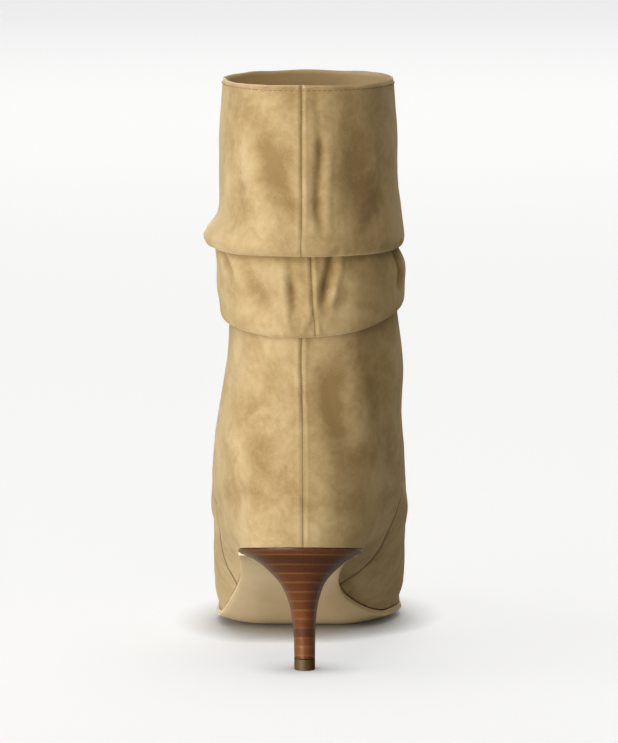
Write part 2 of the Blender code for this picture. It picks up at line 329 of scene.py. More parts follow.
def hermite(x0, v0, m0, x1, v1, m1, at):
    """The cubic from (x0, v0) with slope m0 to (x1, v1) with slope m1."""
    span = x1 - x0
    u = min(max((at - x0) / span, 0.0), 1.0)
    return (
        v0 * (1 + 2 * u) * (1 - u) ** 2
        + m0 * span * u * (1 - u) ** 2
        + v1 * u * u * (3 - 2 * u)
        + m1 * span * u * u * (u - 1)
    )


def smooth(table, column, at):
    """Read one column of a table whose first column rises, on a smooth curve through its rows."""
    last = len(table) - 1
    i = 0
    while i < last - 1 and at > table[i + 1][0]:
        i += 1

    def slope(k):
        before = table[max(k - 1, 0)]
        after = table[min(k + 1, last)]
        return (after[column] - before[column]) / (after[0] - before[0])

    here, there = table[i], table[i + 1]
    return hermite(here[0], here[column], slope(i), there[0], there[column], slope(i + 1), at)


def last_part(y):
    """The two rows of the last's side line that this y lies between."""
    i = 0
    while i < len(LAST_LINE) - 2 and y > LAST_LINE[i + 1][0]:
        i += 1
    return LAST_LINE[i], LAST_LINE[i + 1]


def last_height(y):
    """Height of the last's underside along its middle."""
    here, there = last_part(y)
    return hermite(here[0], here[1], here[2], there[0], there[1], there[2], y)


def crown(y):
    """How much higher the last's edge is than its middle."""
    here, there = last_part(y)
    share = min(max((y - here[0]) / (there[0] - here[0]), 0.0), 1.0)
    return here[3] + (there[3] - here[3]) * share


def dip(y):
    """How far the last's edge lies below the straight line from its back to its toe."""
    start = last_height(HEEL_END)
    end = last_height(TOE_END) + crown(TOE_END)
    return last_height(y) + crown(y) - start - (end - start) * (y - HEEL_END) / SOLE_LENGTH


TURNED_OUTLINE = [(math.acos(1 - 2 * row[0]), row[1], row[2]) for row in OUTLINE]


def half_width(side, turn):
    """Half width of the outline where it has turned by this angle, 0 at the back, pi at the toe."""
    return smooth(TURNED_OUTLINE, 1 if side == "lateral" else 2, turn)


def toe_turn(y):
    """Sideways shift that leads the toe to the medial side."""
    beyond = max(0.0, (y - TREAD_START) / (TOE_END - TREAD_START))
    return TIP_TURN * beyond ** 2


def pleat_rings(edge):
    """The rings of one fold, from the tier below to the tier above."""
    return [
        edge._replace(
            back_y=edge.back_y + inwards,
            front_y=edge.front_y - inwards,
            lateral=edge.lateral - inwards,
            medial=edge.medial - inwards,
            back_z=edge.back_z + up,
            front_z=edge.front_z + up,
        )
        for inwards, up in reversed(PLEAT)
    ]


lower_pleat = pleat_rings(LOWER_FOLD)
upper_pleat = pleat_rings(UPPER_FOLD)
rings = [*FOOT_RINGS, *lower_pleat, *MIDDLE_TIER, *upper_pleat, *TOP_TIER]


def climb(lower, upper):
    """How far the leather runs from one ring to the next, the mean of its back and its front."""
    back = math.hypot(upper.back_y - lower.back_y, upper.back_z - lower.back_z)
    front = math.hypot(upper.front_y - lower.front_y, upper.front_z - lower.front_z)
    return (back + front) / 2


run_of_ring = [0.0]
for lower, upper in zip(rings, rings[1:]):
    run_of_ring.append(run_of_ring[-1] + climb(lower, upper))
ring_table = [(run, *ring) for run, ring in zip(run_of_ring, rings)]
print("rings:", len(rings), "leather from sole to collar:", round(run_of_ring[-1]), "mm")


def ring_at(run):
    """The ring where the leather has run this far up from the sole."""
    return Ring(*(smooth(ring_table, column, run) for column in range(1, len(Ring._fields) + 1)))


def ring_point(ring, side, turn):
    """The point of a ring on one side of the boot, 0 at the back seam, pi at the front ridge."""
    share = (1 - math.cos(turn)) / 2
    arch = max(math.sin(turn), 0.0)
    power = ring.back_power if share < 0.5 else ring.front_power
    lateral = side == "lateral"
    width = (1 - ring.follow) * (ring.lateral if lateral else ring.medial) * arch ** power
    if ring.follow > 0:
        width += ring.follow * half_width(side, turn)
    y = ring.back_y + (ring.front_y - ring.back_y) * share
    z = ring.back_z + (ring.front_z - ring.back_z) * share
    z += (ring.lateral_lift if lateral else ring.medial_lift) * arch ** 2
    if ring.hug > 0:
        z += ring.hug * dip(y)
    return Vector(((-width if lateral else width) + toe_turn(y), y, z))

# %% [markdown]
# Creases are what make a slouch boot. In soft suede they are shallow troughs with round shoulders, and
# each one is listed: where it starts and ends round the leg (degrees from the back seam, minus on
# the lateral side), at which heights, how deep and how wide. Wide, shallow dents between them come
# from seeded noise, as no leather hangs perfectly even.

# %% Creases
Crease = namedtuple("Crease", "start_turn start_z end_turn end_z depth width")
CREASES = [Crease(*row) for row in (
    # back of the top tier: the broken trough beside the seam, and the dents to its left
    (6.8, 246.0, 9.5, 229.0, 0.55, 2.2), (9.0, 227.0, 7.2, 204.0, 1.25, 2.1),
    (7.2, 203.0, 8.6, 193.0, 0.7, 1.8), (13.5, 240.0, 15.5, 228.0, 0.35, 2.6),
    (-26.0, 230.0, -14.0, 208.0, 0.9, 6.0), (-12.0, 214.0, -5.0, 206.0, 0.5, 3.0),
    (27.0, 236.0, 34.0, 212.0, 0.7, 6.5), (-52.0, 222.0, -38.0, 196.0, 0.8, 6.0),
    (-40.0, 199.0, -12.0, 205.0, 0.45, 3.2), (56.0, 212.0, 40.0, 192.0, 0.9, 4.5),
    # back of the middle tier: the pinch on both sides of the seam
    (-5.6, 168.0, -3.6, 155.0, 1.4, 1.8), (-6.4, 181.0, -5.8, 170.0, 0.5, 2.0),
    (16.5, 182.0, 11.4, 170.0, 1.7, 2.0), (11.2, 169.0, 9.6, 158.0, 1.5, 1.7),
    (5.2, 158.0, 3.2, 151.0, 0.7, 1.2), (23.0, 164.0, 17.0, 156.0, 0.5, 2.6),
    (-34.0, 172.0, -22.0, 160.0, 0.8, 4.5), (73.0, 180.0, 70.0, 168.0, 1.8, 2.2),
    (-64.0, 180.0, -57.0, 174.0, 1.6, 2.2),
    # back of the lower leg: broad hollows
    (14.0, 122.0, 20.0, 100.0, 1.0, 7.0), (-30.0, 116.0, -24.0, 92.0, 0.7, 8.0),
    (46.0, 126.0, 52.0, 96.0, 0.8, 8.0),
    # sides and front of the leg, which the picture doesn't show
    (-100.0, 240.0, -112.0, 198.0, 1.2, 4.5), (104.0, 236.0, 118.0, 196.0, 1.2, 4.5),
    (168.0, 230.0, 178.0, 192.0, 1.3, 4.0), (-150.0, 222.0, -160.0, 194.0, 1.1, 4.0),
    (-98.0, 178.0, -104.0, 158.0, 1.4, 3.0), (112.0, 180.0, 120.0, 164.0, 1.3, 3.0),
    (172.0, 178.0, 164.0, 162.0, 1.3, 3.0), (-150.0, 176.0, -142.0, 160.0, 1.2, 3.0),
    # ankle: soft creases across the front of the instep
    (128.0, 134.0, 176.0, 116.0, 1.6, 5.0), (-130.0, 118.0, -176.0, 104.0, 1.5, 5.0),
    (120.0, 104.0, 160.0, 92.0, 1.1, 5.0),
)]
MM_PER_RADIAN = 43.0
# in widths of a crease: how far it is felt, how softly it ends, where its shoulders stand
CREASE_REACH = 3
CREASE_END = 2.2
SHOULDER_AT = 2.1
SHOULDER = 0.20


def bell(at, middle, width):
    """A soft bump: 1 at its middle, 0.37 at its width from there, and soon nothing."""
    return math.exp(-((at - middle) / width) ** 2)


def crease_relief(turn, z):
    """How far the creases sink the skin here; turn is in radians, minus on the lateral side."""
    sunk = 0.0
    for crease in CREASES:
        middle = math.radians(crease.start_turn + crease.end_turn) / 2
        nearest_turn = middle + math.remainder(turn - middle, math.tau)
        start = Vector((math.radians(crease.start_turn) * MM_PER_RADIAN, crease.start_z))
        end = Vector((math.radians(crease.end_turn) * MM_PER_RADIAN, crease.end_z))
        here = Vector((nearest_turn * MM_PER_RADIAN, z))
        along = (end - start).normalized()
        length = (end - start).length
        reach = (here - start).dot(along)
        aside = abs((here - start).x * along.y - (here - start).y * along.x)
        if aside > CREASE_REACH * crease.width:
            continue
        over = max(-reach, reach - length, 0.0)
        ends = bell(over, 0.0, CREASE_END * crease.width)
        trough = bell(aside, 0.0, crease.width)
        shoulder = bell(aside, SHOULDER_AT * crease.width, crease.width)
        sunk += crease.depth * ends * (trough - SHOULDER * shoulder)
    return -sunk


print("creases:", len(CREASES))

# %% [markdown]
# Seams are lines on the leather, so the skin has to know how far each of its points is from them. Those
# distances are kept on the mesh as attributes, in millimetres, and the material draws thin lines from
# them that stay sharp however coarse the mesh is. The back seam wanders, because the folds pull it.

# %% Seams
# index of the ring, sideways place of the back seam
BACK_SEAM = (
    (0, -0.2), (5, -0.4), (9, -0.4), (13, 4.6), (17, 4.9), (18, 4.2),
    (19, 3.4), (21, 2.5), (25, -0.6), (30, -0.8), (33, -0.9),
)
# height, y of the seams between the two quarters and the long front piece, the same on both sides
SIDE_SEAM = (
    (22.0, 79.0), (32.0, 73.5), (44.0, 63.0), (52.0, 54.0), (62.0, 45.0), (72.0, 38.5),
    (82.0, 34.5), (96.0, 33.0), (120.0, 35.0), (150.0, 38.0), (256.0, 40.0),
)
back_seam_table = [(run_of_ring[index], x) for index, x in BACK_SEAM]
FAR_AWAY = 60.0


def from_back_seam(run, turn, x):
    """Signed distance from the back seam, plus on the medial side."""
    if abs(turn) > math.pi / 2:
        return FAR_AWAY
    return x - smooth(back_seam_table, 1, run)


def from_side_seam(place):
    """Signed distance from the nearer side seam, plus on the toe side of it."""
    y, z = place.y, place.z
    slope = smooth(SIDE_SEAM, 1, z + 1) - smooth(SIDE_SEAM, 1, z - 1)
    return (y - smooth(SIDE_SEAM, 1, z)) / math.hypot(1.0, slope / 2)


# patches of nap brushed against the light, partly real and partly painted shade and painted light: angle and
# height of the patch, its two radii in millimetres, how much darker it is painted (minus is paler)
NapAndPaintedPatch = namedtuple("NapAndPaintedPatch", "turn z wide high darker")
NAP_AND_PAINTED_PATCHES = [NapAndPaintedPatch(*row) for row in (
    (-19.0, 222.0, 8.0, 14.0, 0.85), (-9.0, 203.0, 9.0, 7.0, 0.55),
    (-30.0, 240.0, 7.0, 5.0, 0.45), (-8.0, 236.0, 6.0, 9.0, -0.45),
    (-40.0, 214.0, 6.0, 14.0, -0.40), (14.0, 232.0, 5.0, 14.0, -0.35),
    (26.0, 222.0, 9.0, 12.0, 0.50), (40.0, 205.0, 10.0, 8.0, 0.60),
    (16.0, 204.0, 5.0, 8.0, -0.45), (-22.0, 166.0, 9.0, 4.0, 0.55),
    (-36.0, 158.0, 8.0, 3.5, -0.45), (22.0, 163.0, 7.0, 7.0, -0.40),
    (40.0, 168.0, 8.0, 8.0, 0.45), (-16.0, 134.0, 10.0, 6.0, 0.40),
    (-26.0, 112.0, 7.0, 9.0, -0.45), (-20.0, 92.0, 10.0, 9.0, 0.55),
    (14.0, 118.0, 6.0, 20.0, 0.85), (30.0, 96.0, 8.0, 9.0, 0.50),
    (24.0, 74.0, 7.0, 6.0, 0.35), (42.0, 78.0, 7.0, 9.0, -0.45),
    (-44.0, 74.0, 7.0, 7.0, 0.50), (8.0, 64.0, 9.0, 5.0, -0.30),
    (100.0, 120.0, 14.0, 18.0, 0.5), (-104.0, 136.0, 12.0, 16.0, 0.45),
    (160.0, 215.0, 14.0, 16.0, 0.45), (-150.0, 100.0, 16.0, 14.0, 0.5),
)]
PATCH_REACH = 2.5
# the rings just under the two folds' edges, and how far down their painted shade goes
UNDER_FOLDS = (8, 20)
FOLD_SHADE_REACH = 4.0
# a seam's forms: distance from the seam and half width of each, then its height
BACK_GROOVE, GROOVE_HEIGHT = (0.0, 0.45), -0.45
BACK_RIDGES, RIDGE_HEIGHT = (1.6, 1.0), 0.34
SIDE_GUTTER, GUTTER_HEIGHT = (0.9, 1.2), -0.4
STEP_HEIGHT = 0.5
STEP_SOFTNESS = 0.5
STEP_FADE = 9.0


def nap_and_painted_shading(turn, z):
    """How much darker the nap is painted here, the sum of the patches, partly brushed nap and partly painted
    shade and light.
    """
    total = 0.0
    for patch in NAP_AND_PAINTED_PATCHES:
        aside = math.remainder(turn - math.radians(patch.turn), math.tau) * MM_PER_RADIAN / patch.wide
        above = (z - patch.z) / patch.high
        if max(abs(aside), abs(above)) < PATCH_REACH:
            total += patch.darker * math.exp(-aside * aside - above * above)
    return total


def fold_shade(run):
    """Painted shade just under each fold's edge, where the fold above casts its shadow, fading downwards."""
    shade = 0.0
    for index in UNDER_FOLDS:
        if run < run_of_ring[index]:
            shade += bell(run, run_of_ring[index], FOLD_SHADE_REACH)
    return shade


def seam_relief(back, side):
    """The closed back seam is a groove between soft ridges; the quarters lie over the front piece."""
    groove = GROOVE_HEIGHT * bell(back, *BACK_GROOVE)
    ridges = RIDGE_HEIGHT * bell(abs(back), *BACK_RIDGES)
    step = STEP_HEIGHT / (1 + math.exp(side / STEP_SOFTNESS)) * math.exp(-max(-side, 0.0) / STEP_FADE)
    return groove + ridges + step + GUTTER_HEIGHT * bell(side, *SIDE_GUTTER)


print("side seam leaves the sole at y =", round(smooth(SIDE_SEAM, 1, 27.0), 1), "mm")

# %% [markdown]
# The skin starts as a flat grid, the way leather starts as a flat piece. Its columns go round the boot,
# closer together at the back where the seam is, and its rows go up from the sole, closer together in the
# folds. Each vertex is lifted to its place on the last and the two front edges are welded. Then creases,
# dents and seams push it in or out along the normal. Solidify gives the wall its thickness, with suede
# outside and the lining as the second material inside.

# %% The upper's skin
COLUMNS = 220
# ring at the end of the stretch, rows in it
ROW_PLAN = ((2, 30), (7, 48), (10, 12), (17, 22), (19, 20), (22, 12), (29, 22), (33, 36))
runs_of_rows = [0.0]
started = 0.0
for ring_index, count in ROW_PLAN:
    ended = run_of_ring[ring_index]
    runs_of_rows += [started + (ended - started) * (k + 1) / count for k in range(count)]
    started = ended
ROWS = len(runs_of_rows) - 1
rings_of_rows = [ring_at(run) for run in runs_of_rows]
BACK_CROWDING = 0.45
# rings where the leather is hidden inside the two folds, the lowest ring of each, and the ring above each
HIDDEN = ((9, 14), (21, 26))
FOLD_EDGES = (14, 26)
FOLD_TOPS = (17, 29)
OPENING = 4.0
OVER_FOLD_MIDDLE, OVER_FOLD_WIDTH = 1.5, 4.5
ROOM_OVER_FOLD = 0.8
WANDER, WANDER_WIDTH, WANDER_TURNS = 1.5, 12.0, 1.3
COLLAR_WANDER, COLLAR_WANDER_WIDTH, COLLAR_WANDER_TURNS = 0.55, 8.0, 2.6
UPPER_FOLD_SEED, COLLAR_SEED = 3.0, 7.0
DENT_SIZE, DENT_DEPTH = 24.0, 0.55
FINE_DENT_SIZE, FINE_DENT_DEPTH = 9.0, 0.16
# the foot is pulled tight over the last, so its broad dents are shallower, up to the full leg
TIGHT_BELOW, TIGHT_FADE, TIGHT_DENTS = 70.0, 50.0, 0.35
COLLAR_ROUNDING, COLLAR_EDGE = 0.35, 0.5
FLAT_AT_SOLE = 3.0
WELD = 0.02
# how dark the painted shade under the folds is
FOLD_SHADE = 1.9


def turn_of_column(share):
    """Angle round the boot for a share from -1 to 1, with the columns crowded at the back."""
    turned = BACK_CROWDING * abs(share) + (1 - BACK_CROWDING) * share ** 2
    return math.copysign(math.pi * turned, share)


def clamp(value):
    """Hold a value between 0 and 1."""
    return max(0.0, min(1.0, value))


def how_open(run):
    """1 where the leather shows, 0 inside a fold, where there is no room for creases."""
    shown = 1.0
    for first, final in HIDDEN:
        middle = (run_of_ring[first] + run_of_ring[final]) / 2
        half = (run_of_ring[final] - run_of_ring[first]) / 2
        shown = min(shown, clamp((abs(run - middle) - half) / OPENING))
    return shown


def over_fold(run):
    """1 where the leather lies over the hidden loop of a fold, 0 away from it."""
    return max(bell(run, run_of_ring[index] + OVER_FOLD_MIDDLE, OVER_FOLD_WIDTH) for index in FOLD_TOPS)


def wave(turn, turns, seed):
    """Seeded noise that closes on itself as it goes round the boot."""
    return noise.noise(Vector((math.cos(turn) * turns, math.sin(turn) * turns, seed)))


def fold_wander(run, turn):
    """A fold's edge isn't level: it wanders up and down a little as it goes round."""
    near = max(bell(run, run_of_ring[index], WANDER_WIDTH) for index in FOLD_EDGES)
    at_collar = bell(run, run_of_ring[-1], COLLAR_WANDER_WIDTH)
    seed = run_of_ring[14] if run < run_of_ring[19] else UPPER_FOLD_SEED
    folds = near * WANDER * wave(turn, WANDER_TURNS, seed)
    return folds + at_collar * COLLAR_WANDER * wave(turn, COLLAR_WANDER_TURNS, COLLAR_SEED)


def leather_relief(run, turn, place, dented=1.0):
    """How far creases, dents and seams push the leather out here, and its distances from both seams."""
    back = from_back_seam(run, turn, place.x)
    side = from_side_seam(place)
    dent = noise.noise(place / DENT_SIZE) * DENT_DEPTH * dented
    dent += noise.noise(place / FINE_DENT_SIZE) * FINE_DENT_DEPTH
    return how_open(run) * (crease_relief(turn, place.z) + dent + seam_relief(back, side)), back, side


def build_skin():
    """The upper's outer surface, with the values that its material reads."""
    shape = start_grid(COLUMNS, ROWS)
    layers = [
        shape.verts.layers.float.new(name)
        for name in ("back_seam", "side_seam", "relief", "below_collar", "brushed_and_painted_shading")
    ]
    own = {}
    for vert in shape.verts:
        row = round((vert.co.y + 0.5) * ROWS)
        turn = turn_of_column(max(-1.0, min(1.0, 2 * vert.co.x)))
        place = ring_point(rings_of_rows[row], "lateral" if turn < 0 else "medial", abs(turn))
        place.z += fold_wander(runs_of_rows[row], turn)
        own[vert] = (runs_of_rows[row], turn, place.copy())
        vert.co = place * MM
    front_edges = [vert for vert, (run, turn, place) in own.items() if abs(turn) > math.pi - 1e-6]
    bmesh.ops.remove_doubles(shape, verts=front_edges, dist=WELD * MM)
    shape.normal_update()
    for vert, (run, turn, place) in own.items():
        if not vert.is_valid:
            continue
        below_collar = runs_of_rows[-1] - run
        leg = clamp((place.z - TIGHT_BELOW) / TIGHT_FADE)
        relief, back, side = leather_relief(run, turn, place, TIGHT_DENTS + (1 - TIGHT_DENTS) * leg)
        if relief < 0:
            relief *= 1 - over_fold(run)
        if run > run_of_ring[20]:
            relief += ROOM_OVER_FOLD * over_fold(run) * max(0.0, -math.sin(turn))
        relief -= COLLAR_ROUNDING * bell(below_collar, 0.0, COLLAR_EDGE)
        # painted shading: the patches, partly brushed nap and partly painted shade and light, plus painted
        # shade under the folds
        nap = nap_and_painted_shading(turn, place.z) + FOLD_SHADE * fold_shade(run)
        for layer, value in zip(layers, (back, side, relief, below_collar, nap)):
            vert[layer] = value
        vert.co += vert.normal * relief * min(1.0, run / FLAT_AT_SOLE) * MM
    return finish_mesh(shape, "suede_upper")


def add_piece(name, mesh, materials, node=None):
    """Link a mesh as a piece of the boot that stands for one CAD node."""
    piece = add_object(name, mesh)
    for material in materials:
        mesh.materials.append(material)
    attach(piece, "root")
    if node:
        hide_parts(node)
    return piece


def add_wall(piece, thickness, side):
    """A Solidify wall; side -1 grows it inwards, 1 outwards."""
    wall = piece.modifiers.new("wall", "SOLIDIFY")
    wall.thickness = thickness * MM
    wall.offset = side
    wall.use_even_offset = True
    wall.use_quality_normals = True
    return wall


skin_mesh = build_skin()
print("skin faces:", len(skin_mesh.polygons), "rows:", ROWS)

# %% [markdown]
# Several of the boot's leathers share two effects. One is a fine grain, a small pattern of height that
# catches the light. The other is cloudiness, because no hide takes its dye quite evenly and suede shows
# where it was last brushed. Each is a node group with named inputs, built once and tuned in each material.

# %% Shared node groups
def add_node(tree, kind, **values):
    """Add a shader node and set its inputs by name."""
    made = tree.nodes.new(kind)
    for label, value in values.items():
        made.inputs[label].default_value = value
    return made


def new_group(name, result, **inputs):
    """An empty shader group, the sockets of its inputs (given with their defaults) and its result's."""
    group = bpy.data.node_groups.new(name, "ShaderNodeTree")
    for label, value in inputs.items():
        socket = group.interface.new_socket(label, in_out="INPUT", socket_type="NodeSocketFloat")
        socket.default_value = value
    group.interface.new_socket(result, in_out="OUTPUT", socket_type="NodeSocketFloat")
    given = group.nodes.new("NodeGroupInput").outputs
    return group, given, group.nodes.new("NodeGroupOutput").inputs[result]


def make_grain_group():
    """Fine grain: round cells, blended with plain noise as far as Softness says."""
    group, given, height = new_group("leather_grain", "Height", Scale=1200.0, Softness=0.5)
    join = group.links.new
    place = group.nodes.new("ShaderNodeTexCoord").outputs["Object"]
    fine = add_node(group, "ShaderNodeTexNoise", Detail=3.0)
    cells = group.nodes.new("ShaderNodeTexVoronoi")
    mix = group.nodes.new("ShaderNodeMix")
    for texture in (fine, cells):
        join(place, texture.inputs["Vector"])
        join(given["Scale"], texture.inputs["Scale"])
    join(given["Softness"], mix.inputs["Factor"])
    join(cells.outputs["Distance"], mix.inputs["A"])
    join(fine.outputs["Fac"], mix.inputs["B"])
    join(mix.outputs["Result"], height)
    return group


def make_cloud_group():
    """Cloudy dye: warped noise about 0.5, made stronger by Contrast."""
    group, given, cloud = new_group("dye_clouds", "Cloud", Scale=60.0, Contrast=1.0)
    join = group.links.new
    broad = add_node(group, "ShaderNodeTexNoise", Detail=4.0, Roughness=0.62, Distortion=0.7)
    join(group.nodes.new("ShaderNodeTexCoord").outputs["Object"], broad.inputs["Vector"])
    join(given["Scale"], broad.inputs["Scale"])
    strong = maths(group, "MULTIPLY", maths(group, "SUBTRACT", broad.outputs["Fac"], 0.5), given["Contrast"])
    join(maths(group, "ADD", strong, 0.5, clamp=True), cloud)
    return group


grain_group = make_grain_group()
cloud_group = make_cloud_group()


def use_group(tree, group, **values):
    """Place a group in a material with its own values, and return its result."""
    made = tree.nodes.new("ShaderNodeGroup")
    made.node_tree = group
    for name, value in values.items():
        made.inputs[name].default_value = value
    return made.outputs[0]


def ramp_between(tree, factor, stops):
    """A colour ramp fed by a factor; stops are (place, colour)."""
    ramp = tree.nodes.new("ShaderNodeValToRGB")
    while len(ramp.color_ramp.elements) < len(stops):
        ramp.color_ramp.elements.new(0.5)
    for element, (place, colour) in zip(ramp.color_ramp.elements, stops):
        element.position = place
        element.color = (*colour, 1.0)
    tree.links.new(factor, ramp.inputs["Fac"])
    return ramp.outputs["Color"]


def bump_from(tree, shader, height, millimetres):
    """Feed a height into the shader's normal, with its depth in millimetres."""
    bump = add_node(tree, "ShaderNodeBump", Distance=millimetres * MM)
    tree.links.new(height, bump.inputs["Height"])
    tree.links.new(bump.outputs["Normal"], shader.inputs["Normal"])


def mix_colours(tree, factor, first, second, blend="MIX"):
    """Mix two colours; the factor is a socket or a number."""
    made = tree.nodes.new("ShaderNodeMix")
    made.data_type = "RGBA"
    made.blend_type = blend
    for socket, operand in ((made.inputs[0], factor), (made.inputs[6], first), (made.inputs[7], second)):
        if isinstance(operand, (int, float)):
            socket.default_value = operand
        elif isinstance(operand, tuple):
            socket.default_value = (*operand, 1.0)
        else:
            tree.links.new(operand, socket)
    return made.outputs[2]


def make_smooth(name, roughness, cloud, grain, stops, **finish):
    """A smooth leather or rubber: clouds (scale, contrast) and grain (scale, softness, depth in mm)."""
    material, tree, shader = start_material(name, roughness, **finish)
    clouds = use_group(tree, cloud_group, Scale=cloud[0], Contrast=cloud[1])
    height = use_group(tree, grain_group, Scale=grain[0], Softness=grain[1])
    tree.links.new(ramp_between(tree, clouds, stops), shader.inputs["Base Color"])
    bump_from(tree, shader, height, grain[2])
    return material


print("groups:", [group.name for group in bpy.data.node_groups])

# %% [markdown]
# Suede is the rough side of the hide: a dense nap of short fibres. It has no gloss, it looks paler where
# the fibres lean towards the light, and it glows faintly at its outline. Here the cloud group brushes it
# in three sizes, a very fine bump stands for the fibres, sheen gives the glow at the edges, and the
# attributes draw the seams as thin dark lines with painted shade in their gutters and a painted highlight
# on the quarters' edge. The attributes also paint patches of brushed nap mixed with painted shade and
# light, painted shade under the folds, painted shade in the creases, and a painted highlight on the
# collar's rim.

# %% Suede
SUEDE_PALE = (0.500, 0.395, 0.232)
SUEDE_MIDDLE = (0.400, 0.300, 0.160)
SUEDE_DARK = (0.280, 0.196, 0.090)
# the seams' dark join together with painted shade in their gutters
SEAM_LINE_AND_PAINTED_SHADE = (0.130, 0.075, 0.026)
# a painted highlight along the collar's folded rim
RIM_HIGHLIGHT_COLOUR = (0.66, 0.54, 0.35)
SHEEN_TINT = (1.0, 0.90, 0.70, 1.0)
# how much each effect counts in the tone, which runs from dark at 0 to pale at 1
BROAD_CLOUDS, CLOSE_CLOUDS, SMALL_CLOUDS = 0.65, 0.35, 0.22
# the relief's share paints shade into creases and seam gutters and light onto ridges
NAP_AND_PAINTED_TONE, RELIEF_PAINTED_SHADING, NAP_TONE, TONE_DOWN = -0.30, 0.16, 0.30, 0.13
# the patches of brushed nap and painted shading are ragged: their strength follows the close clouds
RAGGED, RAGGED_LEAST = 0.9, 0.55
# lines drawn from an attribute: its value in their middle, half width, both in millimetres
BACK_LINE, BACK_LINE_AND_PAINTED_SHADE = (0.0, 0.42), 0.45
SIDE_LINE, SIDE_LINE_AND_PAINTED_SHADOW = (0.8, 1.25), 1.6
# a painted highlight along the quarters' raised edge
QUARTER_HIGHLIGHT_LINE, QUARTER_HIGHLIGHT = (-0.7, 0.7), 0.35
# a painted highlight along the collar's folded rim
RIM_LINE, RIM_HIGHLIGHT_SHARE = (0.0, 1.0), 0.7
# how strongly the seam lines and their painted shade are drawn
GUTTER_PAINTED_SHADE = 0.85
NAP_HEIGHT = 0.35
SUEDE_DEPTH = 0.35


def attribute(tree, name):
    """The value that the mesh keeps under this name."""
    made = tree.nodes.new("ShaderNodeAttribute")
    made.attribute_name = name
    return made.outputs["Fac"]


def line_mask(tree, name, middle, width):
    """1 in the middle of a line along an attribute, fading to 0 at its half width."""
    away = maths(tree, "ABSOLUTE", maths(tree, "SUBTRACT", attribute(tree, name), middle))
    return maths(tree, "SUBTRACT", 1.0, maths(tree, "DIVIDE", away, width), clamp=True)


def make_suede():
    """Nap in clouds of three sizes, patches of brushed nap and painted shading, seams and rims drawn with
    painted shade and highlights.
    """
    sheen = {"Sheen_Weight": 0.4, "Sheen_Roughness": 0.5, "Sheen_Tint": SHEEN_TINT}
    material, tree, shader = start_material("sand_suede", 0.95, Specular_IOR_Level=0.15, **sheen)
    count = partial(maths, tree)
    broad = use_group(tree, cloud_group, Scale=34.0, Contrast=1.5)
    close = use_group(tree, cloud_group, Scale=120.0, Contrast=1.6)
    small = use_group(tree, cloud_group, Scale=420.0, Contrast=1.2)
    nap = use_group(tree, grain_group, Scale=2600.0, Softness=0.8)
    tone = count("MULTIPLY_ADD", close, CLOSE_CLOUDS, count("MULTIPLY", broad, BROAD_CLOUDS))
    # the patches of brushed nap with painted shade and light, and the painted shade under the folds, darken
    # the tone
    brushed_and_painted_shading = count("MULTIPLY", attribute(tree, "brushed_and_painted_shading"), NAP_AND_PAINTED_TONE)
    tone = count("ADD", tone, count("MULTIPLY", brushed_and_painted_shading, count("MULTIPLY_ADD", close, RAGGED, RAGGED_LEAST)))
    tone = count("MULTIPLY_ADD", small, SMALL_CLOUDS, count("SUBTRACT", tone, SMALL_CLOUDS / 2))
    # painted shade in the creases and gutters, painted light on the ridges
    tone = count("MULTIPLY_ADD", attribute(tree, "relief"), RELIEF_PAINTED_SHADING, tone)
    tone = count("SUBTRACT", count("MULTIPLY_ADD", nap, NAP_TONE, tone), TONE_DOWN)
    colour = ramp_between(tree, tone, ((0.22, SUEDE_DARK), (0.5, SUEDE_MIDDLE), (0.8, SUEDE_PALE)))
    # seam lines: the back seam's dark join with painted shade in its groove, the side seams' join with
    # painted shadow beyond the quarters' edge
    back = count("MULTIPLY", line_mask(tree, "back_seam", *BACK_LINE), BACK_LINE_AND_PAINTED_SHADE)
    side = count("MULTIPLY", line_mask(tree, "side_seam", *SIDE_LINE), SIDE_LINE_AND_PAINTED_SHADOW, clamp=True)
    gutter = count("MAXIMUM", back, side, clamp=True)
    # a painted highlight along the quarters' raised edge beside the side seams
    edge = count("MULTIPLY", line_mask(tree, "side_seam", *QUARTER_HIGHLIGHT_LINE), QUARTER_HIGHLIGHT)
    # a painted highlight along the collar's folded rim
    rim = count("MULTIPLY", line_mask(tree, "below_collar", *RIM_LINE), RIM_HIGHLIGHT_SHARE)
    colour = mix_colours(tree, edge, colour, SUEDE_PALE)
    colour = mix_colours(tree, rim, colour, RIM_HIGHLIGHT_COLOUR)
    colour = mix_colours(tree, count("MULTIPLY", gutter, GUTTER_PAINTED_SHADE), colour, SEAM_LINE_AND_PAINTED_SHADE)
    tree.links.new(colour, shader.inputs["Base Color"])
    bump_from(tree, shader, count("SUBTRACT", count("MULTIPLY", nap, NAP_HEIGHT), gutter), SUEDE_DEPTH)
    return material


def make_lining(name, grain_size, dark, pale):
    """Smooth lining leather between two tones."""
    stops = ((0.2, dark), (0.8, pale))
    return make_smooth(name, 0.5, (40.0, 1.3), (grain_size, 0.35, 0.06), stops, Specular_IOR_Level=0.4)


lining = make_lining("lining_leather", 900.0, (0.72, 0.58, 0.37), (0.83, 0.68, 0.46))
upper = add_piece("suede_upper", skin_mesh, [make_suede(), lining], node="upper")
wall = add_wall(upper, WALL, -1)
wall.material_offset = 1
wall.material_offset_rim = 0
print("upper material slots:", [slot.name for slot in upper.material_slots])

# %% [markdown]
# The outsole is a thin sheet of sole leather, cut to the last's outline and moulded to its underside. It
# starts as a flat grid, is bent to the last, gets its thickness downwards, and its edge is rounded by a
# bevel, as an edge trimmer leaves it.

# %% Outsole
SOLE_ROWS = 110
SOLE_COLUMNS = 28
NARROWEST = 0.4
TIP_CUT = 0.4
TIP_ROLL = 12.0
SOLE_EDGE = 0.5
EDGE_SEGMENTS = 2
EDGE_ANGLE = math.radians(50)


